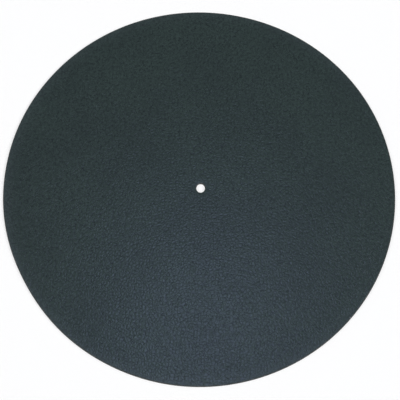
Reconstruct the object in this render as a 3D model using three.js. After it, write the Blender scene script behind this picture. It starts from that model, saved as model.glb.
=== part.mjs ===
// A platter mat: one disc of leather that lies on the platter of a record player, grain side up.
//
// The real mat is a single piece. The disc is cut out of a side of leather, the hole for the platter's spindle is
// punched through its middle, and nothing is sewn, glued or printed on it. Cutting and handling round its corners
// over: the shiny grain side more, where the knife and the punch enter, and the flesh side only a little.
//
// Millimetres, +Z up. The origin is on the mat's axis, on the flesh side, which lies on the platter.

import * as THREE from "three";

// The disc.
const MAT_DIAMETER = 300;
const THICKNESS = 2;

// The spindle that stands up through the mat, and how much wider than it the hole is punched.
const SPINDLE_DIAMETER = 7.1;
const SPINDLE_CLEARANCE = 0.1;

// The radii of the rounded corners, where the rim and the hole meet each side.
const RIM_ROUND_GRAIN = 0.5;
const RIM_ROUND_FLESH = 0.2;
const HOLE_ROUND_GRAIN = 0.4;
const HOLE_ROUND_FLESH = 0.15;

// How finely the turned surface is divided: flats round the axis, and pairs of flats along each corner.
const FLATS_ROUND = 144;
const FLAT_PAIRS_PER_CORNER = 2;

const LEATHER_COLOUR = 0x2b3236;

// Directions in the section, where X is the radius from the mat's axis and Y is the height.
const OUTWARDS = 0;
const UP = Math.PI / 2;
const INWARDS = Math.PI;
const DOWN = (3 * Math.PI) / 2;

// Half of the mat's section: out along the flesh side, up the rim, back along the grain side and down the hole's
// wall. Each corner is a quarter circle, and the straight stretches join their ends.
function matSection() {
  const rim = MAT_DIAMETER / 2;
  const hole = (SPINDLE_DIAMETER + SPINDLE_CLEARANCE) / 2;
  const section = new THREE.Path();
  const corner = (radius, height, round, from, to) => section.absarc(radius, height, round, from, to, false);

  section.moveTo(hole + HOLE_ROUND_FLESH, 0);
  section.lineTo(rim - RIM_ROUND_FLESH, 0);
  corner(rim - RIM_ROUND_FLESH, RIM_ROUND_FLESH, RIM_ROUND_FLESH, DOWN, OUTWARDS);
  corner(rim - RIM_ROUND_GRAIN, THICKNESS - RIM_ROUND_GRAIN, RIM_ROUND_GRAIN, OUTWARDS, UP);
  corner(hole + HOLE_ROUND_GRAIN, THICKNESS - HOLE_ROUND_GRAIN, HOLE_ROUND_GRAIN, UP, INWARDS);
  corner(hole + HOLE_ROUND_FLESH, HOLE_ROUND_FLESH, HOLE_ROUND_FLESH, INWARDS, DOWN);

  const points = section.getPoints(FLAT_PAIRS_PER_CORNER);
  points[points.length - 1].copy(points[0]);
  return points;
}

// The disc, turned from its section. LatheGeometry turns about Y, so the result is laid down onto its flesh side.
function leatherMat() {
  const disc = new THREE.LatheGeometry(matSection(), FLATS_ROUND);
  disc.rotateX(Math.PI / 2);
  const leather = new THREE.MeshStandardMaterial({ color: LEATHER_COLOUR, roughness: 0.55, metalness: 0 });
  const mat = new THREE.Mesh(disc, leather);
  mat.name = "leather_mat";
  return mat;
}

const platterMat = new THREE.Group();
platterMat.add(leatherMat());

export default platterMat;
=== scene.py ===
# A leather platter mat, lying grain side up on a white table. The disc, its hole and its thickness come from
# the frame, and this script gives it the leather: the pebbled grain, the dyed edges, the suede underside and
# the way it lies. Metres, +Z up, as in the frame.

import math

import bmesh
import bpy
from mathutils import Matrix, Vector, noise


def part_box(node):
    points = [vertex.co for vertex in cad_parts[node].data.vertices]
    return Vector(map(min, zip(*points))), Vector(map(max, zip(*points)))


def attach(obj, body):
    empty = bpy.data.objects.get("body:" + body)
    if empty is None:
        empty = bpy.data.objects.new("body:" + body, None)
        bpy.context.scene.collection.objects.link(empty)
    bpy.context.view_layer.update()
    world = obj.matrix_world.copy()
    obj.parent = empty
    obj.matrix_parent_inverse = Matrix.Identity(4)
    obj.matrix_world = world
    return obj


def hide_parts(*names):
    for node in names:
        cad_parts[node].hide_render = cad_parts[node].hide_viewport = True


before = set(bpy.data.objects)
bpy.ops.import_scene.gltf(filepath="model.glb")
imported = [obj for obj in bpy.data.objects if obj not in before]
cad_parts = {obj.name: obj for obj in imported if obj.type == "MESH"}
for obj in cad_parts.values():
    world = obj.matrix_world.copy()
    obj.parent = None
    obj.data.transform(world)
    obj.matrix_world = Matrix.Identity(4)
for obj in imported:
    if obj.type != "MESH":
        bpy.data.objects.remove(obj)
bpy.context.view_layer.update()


# The mat is one disc of cow leather, drum-dyed a dark blue-grey and tumbled until its grain side is finely
# pebbled. It is cut out with a knife and its hole is punched. Both edges are dyed and rubbed round, and the
# underside is left as suede.

mat_low, mat_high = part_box("leather_mat")
MAT_THICKNESS = mat_high.z - mat_low.z
MAT_REACH = (mat_high.x - mat_low.x) / 2
mat_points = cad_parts["leather_mat"].data.vertices
HOLE_REACH = min(math.hypot(point.co.x, point.co.y) for point in mat_points)

# How far the corners are rubbed round, at the rim and at the hole, on the grain side and on the flesh side.
RIM_ROUND_GRAIN = 0.0005
RIM_ROUND_FLESH = 0.0002
HOLE_ROUND_GRAIN = 0.0004
HOLE_ROUND_FLESH = 0.00015

# How finely each part of the skin is divided: the sides of its triangles, and the flats along each corner.
GRAIN_STEP = 0.0016
FLESH_STEP = 0.0032
FLATS_PER_CORNER = 4
FEWEST_FLATS_ROUND = 96
EVEN_TRIANGLE_HEIGHT = math.sin(math.radians(60))

# The leather doesn't lie dead flat: it rises a little from the table in long, low waves.
WAVE_HEIGHT = 0.00035
WAVE_LENGTH = 0.11

# The knife strays from the circle in slow waves: how many go round the rim, how high they are, and the
# direction in degrees in which one peaks. The single wave is the rim's centre lying half a millimetre off the
# hole. The straying fades away towards the middle of the mat.
CUT_WAVES = ((1, 0.0005, 204), (2, 0.00015, 38), (3, 0.00018, 40), (5, 0.00009, 41))
CUT_REACHES_IN = 0.03

# On the left the knife slipped: it cut in a little, and swung out as far on each side. These are the way in
# which it cut in, how deep, how far round the crests lie from there, and where the slip has died away.
SLIP_WAY = math.radians(212)
SLIP_DEPTH = 0.00025
SLIP_CREST = math.radians(22)
SLIP_REACH = math.radians(60)

# The punch draws the grain side down round the hole, and leaves it a little narrower along X than along Y.
PUNCH_DIP = 0.00016
PUNCH_REACH = 0.0025
PUNCH_NARROWS = 0.0003

# The skin's map is a square of side 1. The grain side and the edges share one disc, and the flesh side has
# another in the opposite corner.
MAP_GRAIN = 0.384
MAP_FLESH = 0.19
MAP_MARGIN = 0.006

GRAIN, EDGE, FLESH = range(3)


def corner_rings(reach, height, rounding, start):
    """The places round a quarter circle in the mat's section, from this direction in degrees."""
    turns = [math.radians(start + 90 * i / FLATS_PER_CORNER) for i in range(FLATS_PER_CORNER + 1)]
    places = [(reach + rounding * math.cos(turn), height + rounding * math.sin(turn)) for turn in turns]
    return [(*place, GRAIN_STEP, EDGE) for place in places]


def side_rings(start, end, height, step, side):
    """The places across a flat side, without its two ends, in rows for triangles with even sides."""
    rows = round(abs(end - start) / (step * EVEN_TRIANGLE_HEIGHT))
    return [(start + (end - start) * i / rows, height, step, side) for i in range(1, rows)]


def mat_section():
    """The section as rings: out along the flesh side, up the rim, back along the grain and down the hole."""
    grain_out = MAT_REACH - RIM_ROUND_GRAIN
    grain_in = HOLE_REACH + HOLE_ROUND_GRAIN
    flesh_out = MAT_REACH - RIM_ROUND_FLESH
    flesh_in = HOLE_REACH + HOLE_ROUND_FLESH
    return [
        *side_rings(flesh_in, flesh_out, 0, FLESH_STEP, FLESH),
        *corner_rings(flesh_out, RIM_ROUND_FLESH, RIM_ROUND_FLESH, -90),
        *corner_rings(grain_out, MAT_THICKNESS - RIM_ROUND_GRAIN, RIM_ROUND_GRAIN, 0),
        *side_rings(grain_out, grain_in, MAT_THICKNESS, GRAIN_STEP, GRAIN),
        *corner_rings(grain_in, MAT_THICKNESS - HOLE_ROUND_GRAIN, HOLE_ROUND_GRAIN, 90),
        *corner_rings(flesh_in, HOLE_ROUND_FLESH, HOLE_ROUND_FLESH, 180),
    ]


def smooth_step(value):
    """0 below 0, 1 above 1, and a smooth rise between them."""
    value = min(max(value, 0.0), 1.0)
    return value * value * (3 - 2 * value)


def knife_strays(around):
    """How far outside the true circle the knife cut, in this direction from the axis."""
    waves = [high * math.cos(count * (around - math.radians(peak))) for count, high, peak in CUT_WAVES]
    past_slip = abs((around - SLIP_WAY + math.pi) % math.tau - math.pi)
    slip = SLIP_DEPTH * smooth_step(1 - past_slip / SLIP_REACH)
    return sum(waves) - slip * math.cos(math.pi * past_slip / SLIP_CREST)


def laid(x, y, z):
    """Where a point of the true disc ends up: after the knife and the punch, lying on the table."""
    reach = math.hypot(x, y)
    outward = Vector((x, y, 0)) / reach
    near_rim = smooth_step((reach - MAT_REACH + CUT_REACHES_IN) / CUT_REACHES_IN)
    near_hole = 1 - smooth_step((reach - HOLE_REACH) / PUNCH_REACH)
    stray = near_rim * knife_strays(math.atan2(y, x)) - near_hole * PUNCH_NARROWS * outward.x**2
    rise = WAVE_HEIGHT * (0.5 + 0.5 * noise.noise(Vector((x, y, 0)) / WAVE_LENGTH))
    rise -= PUNCH_DIP * z / MAT_THICKNESS * near_hole
    return Vector((x, y, z + rise)) + outward * stray


def ring_points(mesh, index, reach, height, step):
    """One ring of points round the axis, each with its direction. Every other ring is turned half a step."""
    count = max(FEWEST_FLATS_ROUND, round(math.tau * reach / step))
    points = []
    for i in range(count):
        turn = math.tau * (i + 0.5 * (index % 2)) / count
        way = Vector((math.cos(turn), math.sin(turn)))
        points.append((mesh.verts.new(laid(*reach * way, height)), way))
    return points


def unrolled(section):
    """How far each ring lies from the middle once the rim and the hole's wall lie flat with the grain."""
    run = [0.0]
    for (reach, height, *_), (next_reach, next_height, *_) in zip(section, section[1:]):
        run.append(run[-1] + math.hypot(next_reach - reach, next_height - height))
    anchor = next(index for index, ring in enumerate(section) if ring[3] == GRAIN)
    return [section[anchor][0] + run[anchor] - here for here in run]


def stitch(mesh, lower, upper, material_index, flat):
    """Fills the band between two rings with triangles, whatever number of points each has, and maps it.

    Flat gives the middle of the band's disc on the map, how the map runs along X and Y, and the rings' radii.
    """
    middle, along, *radii = flat
    map_layer = mesh.loops.layers.uv.verify()
    lower, upper = (
        [(point, middle + radius * along * way) for point, way in ring]
        for ring, radius in zip((lower, upper), radii)
    )
    i = j = 0
    while i < len(lower) or j < len(upper):
        here, there = lower[i % len(lower)], upper[j % len(upper)]
        if (i + 1) * len(upper) <= (j + 1) * len(lower):
            i += 1
            corners = (here, lower[i % len(lower)], there)
        else:
            j += 1
            corners = (here, upper[j % len(upper)], there)
        face = mesh.faces.new([point for point, _ in corners])
        face.material_index = material_index
        face.smooth = True
        for loop, (_, on_map) in zip(face.loops, corners):
            loop[map_layer].uv = on_map


def leather_skin():
    """The whole skin of the mat as one closed, mapped mesh. The flesh side is mapped as seen from below."""
    mesh = bmesh.new()
    mesh.loops.layers.uv.new("OFBake")
    section = mat_section()
    rings = [ring_points(mesh, index, *ring[:3]) for index, ring in enumerate(section)]
    straight = [ring[0] for ring in section]
    across = unrolled(section)
    widest = max(far for far, ring in zip(across, section) if ring[3] != FLESH)
    for index, ring in enumerate(rings):
        after = (index + 1) % len(rings)
        side = next((ring[3] for ring in (section[index], section[after]) if ring[3] != EDGE), EDGE)
        if side == FLESH:
            middle, size, radii = 1 - MAP_MARGIN - MAP_FLESH, MAP_FLESH / MAT_REACH, straight
            along = Vector((-size, size))
        else:
            middle, size, radii = MAP_MARGIN + MAP_GRAIN, MAP_GRAIN / widest, across
            along = Vector((size, size))
        flat = (Vector((middle, middle)), along, radii[index], radii[after])
        stitch(mesh, ring, rings[after], side, flat)
    data = bpy.data.meshes.new("leather_mat_skin")
    mesh.to_mesh(data)
    mesh.free()
    return data


class Shade:
    """An output in a node tree. Sums and products of these add the Math nodes that work them out."""

    def __init__(self, tree, output=None):
        self.tree = tree
        self.output = output

    def node(self, kind, settings=None, inputs=None, output=None):
        """Adds a node: its settings first, then the values or links of its sockets, by their identifiers."""
        made = self.tree.nodes.new(kind)
        for name, value in (settings or {}).items():
            setattr(made, name, value)
        for name, value in (inputs or {}).items():
            socket = next(s for s in made.inputs if s.identifier == name)
            if isinstance(value, Shade):
                self.tree.links.new(value.output, socket)
            else:
                socket.default_value = value
        return Shade(self.tree, next(s for s in made.outputs if output in (None, s.identifier)))

    def maths(self, operation, first, second=0.0):
        inputs = {"Value": first, "Value_001": second}
        return self.node("ShaderNodeMath", {"operation": operation}, inputs)

    def __add__(self, other):
        return self.maths("ADD", self, other)

    def __sub__(self, other):
        return self.maths("SUBTRACT", self, other)

    def __rsub__(self, other):
        return self.maths("SUBTRACT", other, self)

    def __mul__(self, other):
        return self.maths("MULTIPLY", self, other)

    __radd__ = __add__
    __rmul__ = __mul__

    def ramp(self, low, high, kind="LINEAR"):
        """0 at low, 1 at high, and a straight change between them."""
        settings = {"interpolation_type": kind}
        inputs = {"Value": self, "From Min": low, "From Max": high}
        return self.node("ShaderNodeMapRange", settings, inputs)

    def between(self, low, high):
        """0 at low, 1 at high, and a smooth change between them."""
        return self.ramp(low, high, "SMOOTHSTEP")

    def mix(self, first, second):
        """The first colour where this is 0, and the second where it is 1."""
        inputs = {"Factor_Float": self, "A_Color": first, "B_Color": second}
        return self.node("ShaderNodeMix", {"data_type": "RGBA"}, inputs, "Result_Color")

    def noise(self, width, detail=2.0, roughness=0.5, output="Fac"):
        """Cloudy noise from 0 to 1 at this place, in patches about as wide as width."""
        inputs = {"Vector": self, "Scale": 1 / width, "Detail": detail, "Roughness": roughness}
        return self.node("ShaderNodeTexNoise", None, inputs, output)

    def cells(self, width, output, feature="F1", randomness=1.0):
        """Flat cells about as wide as width: what the output says of the one that this place is in."""
        settings = {"feature": feature, "voronoi_dimensions": "2D"}
        inputs = {"Vector": self, "Scale": 1 / width, "Randomness": randomness}
        return self.node("ShaderNodeTexVoronoi", settings, inputs, output)

    def cell_edges(self, width, randomness=1.0):
        """The way from this place to the nearest edge of the same cells, where 0.5 is half a cell."""
        return self.cells(width, "Distance", "DISTANCE_TO_EDGE", randomness)

    def vector(self, operation, other=(0.0, 0.0, 0.0), scale=1.0, output="Vector"):
        inputs = {"Vector": self, "Vector_001": other, "Scale": scale}
        return self.node("ShaderNodeVectorMath", {"operation": operation}, inputs, output)

    def part(self, axis):
        """One part of a vector or colour: X, Y or Z."""
        return self.node("ShaderNodeSeparateXYZ", None, {"Vector": self}, axis)

    def bump(self, height):
        """The normal of a surface that rises by this height from where this is 0 to where it is 1."""
        return self.node("ShaderNodeBump", None, {"Height": self, "Distance": height})


def dye(red, green, blue):
    """A colour as it shows on a screen, each part from 0 to 255, as the linear one that a shader takes."""
    parts = [part / 255 for part in (red, green, blue)]
    return (*[p / 12.92 if p <= 0.04045 else ((p + 0.055) / 1.055) ** 2.4 for p in parts], 1.0)


def new_material(name):
    """An empty material, and the place on the surface as its first shade."""
    material = bpy.data.materials.new(name)
    material.use_nodes = True
    material.node_tree.nodes.clear()
    return material, Shade(material.node_tree).node("ShaderNodeTexCoord", output="Object")


def finish_material(material, shader):
    """Sends a shader to the material's output."""
    output = material.node_tree.nodes.new("ShaderNodeOutputMaterial")
    material.node_tree.links.new(shader.output, output.inputs["Surface"])
    return material


# The parts of a random colour run from 0 to 1, so this is taken off to make them lie about 0.
RANDOM_MEAN = (0.5, 0.5, 0.5)


def wandered(place, width, amount):
    """The place, moved about at random, so that cells lose their straight sides."""
    drift = place.noise(width, output="Color").vector("SUBTRACT", RANDOM_MEAN)
    return place.vector("ADD", drift.vector("SCALE", scale=amount))


# The pebbles: how wide they are and how evenly set, how much their sides wander and over what width, how high
# they stand, how low the lowest ones are, and how far they lean over.
PEBBLE_WIDTH = 0.0024
PEBBLE_SPREAD = 0.95
PEBBLES_WANDER = (0.004, 0.003)
PEBBLE_HEIGHT = 0.0001
PEBBLE_SHOULDER = 0.6
LOWEST_PEBBLE = 0.6
PEBBLE_LEAN = 1.4
CREASE_WIDTH = 0.18

# The finer marks on them: wrinkles, and a cloudy unevenness of relief, dye and shine.
WRINKLE_WIDTH = 0.0011
WRINKLES_WANDER = (0.002, 0.0015)
WRINKLE_SIDE = 0.3
WRINKLE_DEPTH = 0.15
MOTTLE_WIDTH = 0.002
MOTTLE_RISE = 1.5

# The dyes on the pebbles' backs and in broad patches of them, and the dark colour in the creases, which is
# dye pooled there and painted shade.
DYE_BACKS = dye(48, 61, 58)
DYE_PATCHES = dye(45, 57, 55)
CREASE_DYE_AND_SHADE = dye(25, 33, 33)
PATCH_WIDTH = 0.06
PATCH_FADES = (0.35, 0.65)

# How much darker the wrinkles are, from pooled dye and painted shade, how much dye pools in the clouds, and
# how much paler the large pebbles are. The last two are the mottle's values at which creases and clouds get
# none of the darkening and all of it.
WRINKLE_DYE_AND_SHADE = 0.2
POOLED_IN_CLOUDS = 0.35
LARGE_PEBBLES_PALER = 0.15
CREASE_DARKENING_RANGE = (0.7, 0.3)
CLOUDS_HOLD = (0.6, 0.35)

# Painted highlight: the colour is made a little paler towards the rim, apart from the right-hand side, where
# the lamp's sheen is weaker.
RIM_HIGHLIGHT_COLOUR = dye(79, 87, 93)
RIM_HIGHLIGHT_BAND = 0.015
RIM_HIGHLIGHT_STRENGTH = 0.18
RIM_HIGHLIGHT_FADES_FROM = 0.6 * MAT_REACH

# The finish's shine, and how much duller the creases and the clouds are.
GRAIN_ROUGHNESS = 0.19
CREASES_DULLER = 0.13
CLOUDS_DULLER = 0.08
SHEEN = {"Specular IOR Level": 0.38, "Specular Tint": (0.78, 0.80, 1.0, 1.0)}


def grain_side():
    """The grain side: plump pebbles with finer wrinkles on them, darker in the creases from dye and painted
    shade, and a painted highlight towards the rim.
    """
    material, place = new_material("pebbled_grain")
    wandering = wandered(place, *PEBBLES_WANDER)
    across = wandering.cell_edges(PEBBLE_WIDTH, PEBBLE_SPREAD)
    plump = across.ramp(0.0, PEBBLE_SHOULDER)
    dome = plump * (2 - plump)
    own = wandering.cells(PEBBLE_WIDTH, "Color", randomness=PEBBLE_SPREAD)
    middle = wandering.cells(PEBBLE_WIDTH, "Position", randomness=PEBBLE_SPREAD)
    aside = wandering.vector("SUBTRACT", middle).vector("SCALE", scale=1 / PEBBLE_WIDTH)
    tilt = own.vector("SUBTRACT", RANDOM_MEAN).vector("MULTIPLY", (1, 1, 0))
    lean = aside.vector("DOT_PRODUCT", tilt, output="Value")
    size = own.part("Z")
    pebble = dome * (LOWEST_PEBBLE + (1 - LOWEST_PEBBLE) * size + PEBBLE_LEAN * lean)

    mottle = place.noise(MOTTLE_WIDTH, 3.0, 0.6)
    wrinkle = 1 - wandered(place, *WRINKLES_WANDER).cell_edges(WRINKLE_WIDTH).between(0.0, WRINKLE_SIDE)
    relief = pebble + MOTTLE_RISE * mottle - WRINKLE_DEPTH * wrinkle

    # Painted shade: the creases and wrinkles are darkened in the colour, on top of the dye that pools there.
    crease = 1 - across.between(0.0, CREASE_WIDTH)
    dye_and_shade = crease * mottle.ramp(*CREASE_DARKENING_RANGE) + WRINKLE_DYE_AND_SHADE * wrinkle
    dye_and_shade = dye_and_shade + POOLED_IN_CLOUDS * mottle.ramp(*CLOUDS_HOLD) - LARGE_PEBBLES_PALER * size
    backs = place.noise(PATCH_WIDTH, 3.0).between(*PATCH_FADES).mix(DYE_BACKS, DYE_PATCHES)
    colour = dye_and_shade.ramp(0.0, 1.0).mix(backs, CREASE_DYE_AND_SHADE)
    # Painted highlight: the colour turns paler in a thin band at the rim, fading out towards the right-hand
    # side.
    rim_highlight = place.vector("LENGTH", output="Value").ramp(MAT_REACH - RIM_HIGHLIGHT_BAND, MAT_REACH)
    rim_highlight_side = place.part("X").between(MAT_REACH, RIM_HIGHLIGHT_FADES_FROM)
    colour = (RIM_HIGHLIGHT_STRENGTH * rim_highlight_side * rim_highlight * rim_highlight * rim_highlight).mix(colour, RIM_HIGHLIGHT_COLOUR)

    roughness = GRAIN_ROUGHNESS + CREASES_DULLER * crease + CLOUDS_DULLER * mottle
    inputs = {"Base Color": colour, "Roughness": roughness, "Normal": relief.bump(PEBBLE_HEIGHT)}
    return finish_material(material, place.node("ShaderNodeBsdfPrincipled", None, inputs | SHEEN))


# The cut fibres lie in layers, four times as thin as they are wide.
FIBRE_WIDTH = 0.0012
FIBRE_LAYERS = (1, 1, 4)
FIBRE_HEIGHT = 0.0003
DYE_FIBRES = (dye(34, 36, 34), dye(80, 80, 76))
FIBRE_FADES = (0.38, 0.68)
FIBRE_ROUGHNESS = 0.6
PALE_FIBRES_ROUGHER = 0.25


def cut_edge():
    """The rim and the hole's wall: the cut fibres, dyed unevenly and rubbed until they lie down."""
    material, place = new_material("dyed_edge")
    fibre = place.vector("MULTIPLY", FIBRE_LAYERS).noise(FIBRE_WIDTH, 5.0, 0.7)
    colour = fibre.between(*FIBRE_FADES).mix(*DYE_FIBRES)
    roughness = FIBRE_ROUGHNESS + PALE_FIBRES_ROUGHER * fibre
    inputs = {"Base Color": colour, "Roughness": roughness, "Normal": fibre.bump(FIBRE_HEIGHT)}
    return finish_material(material, place.node("ShaderNodeBsdfPrincipled", None, inputs))


# The nap: its fibres, and the wider brushed marks where it lies over.
NAP_WIDTH = 0.0006
NAP_HEIGHT = 0.00025
BRUSHED_WIDTH = 0.018
BRUSHING_WANDERS = (0.02, 0.02)
DYE_NAP = (dye(38, 45, 47), dye(62, 70, 72))
NAP_FADES = (0.35, 0.65)
SOFT_NAP = {"Roughness": 0.95, "Specular IOR Level": 0.2, "Sheen Weight": 0.3}


def suede_side():
    """The flesh side: a short, soft nap, dyed with the rest and paler where it lies over."""
    material, place = new_material("suede_underside")
    nap = place.noise(NAP_WIDTH, 5.0, 0.7)
    brushed = wandered(place, *BRUSHING_WANDERS).noise(BRUSHED_WIDTH, 3.0)
    colour = (0.5 * nap + 0.5 * brushed).between(*NAP_FADES).mix(*DYE_NAP)
    inputs = {"Base Color": colour, "Normal": nap.bump(NAP_HEIGHT)}
    return finish_material(material, place.node("ShaderNodeBsdfPrincipled", None, inputs | SOFT_NAP))


mat = bpy.data.objects.new("platter_mat", leather_skin())
bpy.context.scene.collection.objects.link(mat)
for material in (grain_side(), cut_edge(), suede_side()):
    mat.data.materials.append(material)
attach(mat, "root")
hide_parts("leather_mat")


# The table is a plain white surface, far wider than the view. It is white paint to the light that reaches the
# mat. To the camera and in reflections it glows, so that it shows as white with only a faint shadow.

TABLE_REACH = 12.0
TABLE_GAP = 0.0001
TABLE_PAINT = (0.85, 0.85, 0.85, 1)
SHADOWED_PAINT = (0.3, 0.3, 0.3, 1)
TABLE_GLOW = 0.69


def ray_is(shade, *kinds):
    """1 for a ray of one of these kinds, and 0 for any other."""
    rays = [shade.node("ShaderNodeLightPath", output=f"Is {kind} Ray") for kind in kinds]
    found = rays[0]
    for ray in rays[1:]:
        found = found.maths("MAXIMUM", found, ray)
    return found


def white_table():
    """Plain paint for the light that reaches the mat, and white with a faint shadow for the eye."""
    material, place = new_material("white_table")
    paint = place.node("ShaderNodeBsdfDiffuse", None, {"Color": TABLE_PAINT})
    shadowed = place.node("ShaderNodeBsdfDiffuse", None, {"Color": SHADOWED_PAINT})
    glow = place.node("ShaderNodeEmission", None, {"Strength": TABLE_GLOW})
    white = place.node("ShaderNodeAddShader", None, {"Shader": shadowed, "Shader_001": glow})
    inputs = {"Fac": ray_is(place, "Camera", "Glossy", "Transmission"), "Shader": paint, "Shader_001": white}
    return finish_material(material, place.node("ShaderNodeMixShader", None, inputs))


table_mesh = bmesh.new()
bmesh.ops.create_circle(table_mesh, cap_ends=True, segments=64, radius=TABLE_REACH)
table = bpy.data.objects.new("table", bpy.data.meshes.new("table"))
table_mesh.to_mesh(table.data)
table_mesh.free()
table.data.materials.append(white_table())
table.location.z = mat_low.z - TABLE_GAP
bpy.context.scene.collection.objects.link(table)


# The light is a plain studio: a dim ceiling, a bright screen to each side of the photographer, and a small
# cool lamp above the mat that gives its near half a soft blue sheen. The camera sees a white wall behind the
# table, and a reflection sees a low white backdrop all round.

WHITE_WALL = 0.97
CEILING = 0.17

# Up to where the backdrop is white, where it has faded away, and how far below the table the ceiling's light
# ends, each as the sine of its angle above the table.
BACKDROP_TOP = math.sin(math.radians(6))
BACKDROP_FADES = math.sin(math.radians(17))
BELOW_THE_TABLE = math.sin(math.radians(-3))

# Each screen: the direction of its middle round the mat and above the table, how far from there it starts to
# fade and how far it reaches, all in degrees, and its brightness.
SCREENS = ((-165, 46, 6, 22, 5.1), (-15, 46, 6, 22, 8.7))


def bright_patch(way, around, up, inner, outer, brightness):
    """A round patch of light in the sky, at a direction in degrees, which fades from inner to outer."""
    around, up, inner, outer = (math.radians(angle) for angle in (around, up, inner, outer))
    middle = (math.cos(up) * math.cos(around), math.cos(up) * math.sin(around), math.sin(up))
    toward = way.vector("DOT_PRODUCT", middle, output="Value")
    return brightness * toward.between(math.cos(outer), math.cos(inner))


def studio_world():
    """The ceiling and the screens for the light, the wall for the camera and the backdrop for reflections."""
    world = bpy.data.worlds.new("studio")
    world.use_nodes = True
    world.node_tree.nodes.clear()
    way = Shade(world.node_tree).node("ShaderNodeTexCoord", output="Generated")
    up = way.part("Z")
    light = CEILING + sum(bright_patch(way, *screen) for screen in SCREENS)
    light = light * up.between(BELOW_THE_TABLE, 0.0)
    backdrop = ray_is(way, "Glossy", "Transmission") * (1 - up.between(BACKDROP_TOP, BACKDROP_FADES))
    seen = ray_is(way, "Camera")
    strength = WHITE_WALL * seen + (1 - seen) * way.maths("MAXIMUM", light, backdrop)
    inputs = {"Color": (1, 1, 1, 1), "Strength": strength}
    background = way.node("ShaderNodeBackground", None, inputs)
    output = world.node_tree.nodes.new("ShaderNodeOutputWorld")
    world.node_tree.links.new(background.output, output.inputs["Surface"])
    return world


bpy.context.scene.world = studio_world()

# The cool lamp is flat and faces down. Its brightness is what it shows, where 1 is white.
LAMP_PLACE = (0.034, 0.016, 0.85)
LAMP_WIDTH = 0.18
LAMP_LENGTH = 0.35
LAMP_COLOUR = (0.65, 0.745, 1.0)
LAMP_BRIGHTNESS = 4.15

lamp = bpy.data.lights.new("cool_lamp", "AREA")
lamp.shape = "RECTANGLE"
lamp.size = LAMP_WIDTH
lamp.size_y = LAMP_LENGTH
lamp.color = LAMP_COLOUR
lamp.energy = LAMP_BRIGHTNESS * math.pi * LAMP_WIDTH * LAMP_LENGTH
cool_lamp = bpy.data.objects.new("cool_lamp", lamp)
cool_lamp.location = LAMP_PLACE
bpy.context.scene.collection.objects.link(cool_lamp)


# The camera looks down on the mat at the photograph's angle, turned a little about its own line of sight.

LENS = 85.85
SENSOR_WIDTH = 36
CAMERA_HEIGHT_ANGLE = math.radians(73.145)
CAMERA_DISTANCE = 4.8616 * MAT_REACH
CAMERA_AIM = Vector((0, -0.06198 * MAT_REACH, MAT_THICKNESS / 2))
CAMERA_TURN = math.radians(3.045)
CAMERA_CLIP = 0.01

back = Vector((0, -math.cos(CAMERA_HEIGHT_ANGLE), math.sin(CAMERA_HEIGHT_ANGLE)))
stand = Matrix.Translation(CAMERA_AIM + back * CAMERA_DISTANCE)
upright = back.to_track_quat("Z", "Y").to_matrix().to_4x4()
camera = bpy.data.objects.new("camera", bpy.data.cameras.new("camera"))
camera.data.lens = LENS
camera.data.sensor_width = SENSOR_WIDTH
camera.data.clip_start = CAMERA_CLIP
camera.matrix_world = stand @ upright @ Matrix.Rotation(CAMERA_TURN, 4, "Z")
bpy.context.scene.collection.objects.link(camera)
bpy.context.scene.camera = camera

bpy.context.scene.view_settings.view_transform = "Standard"
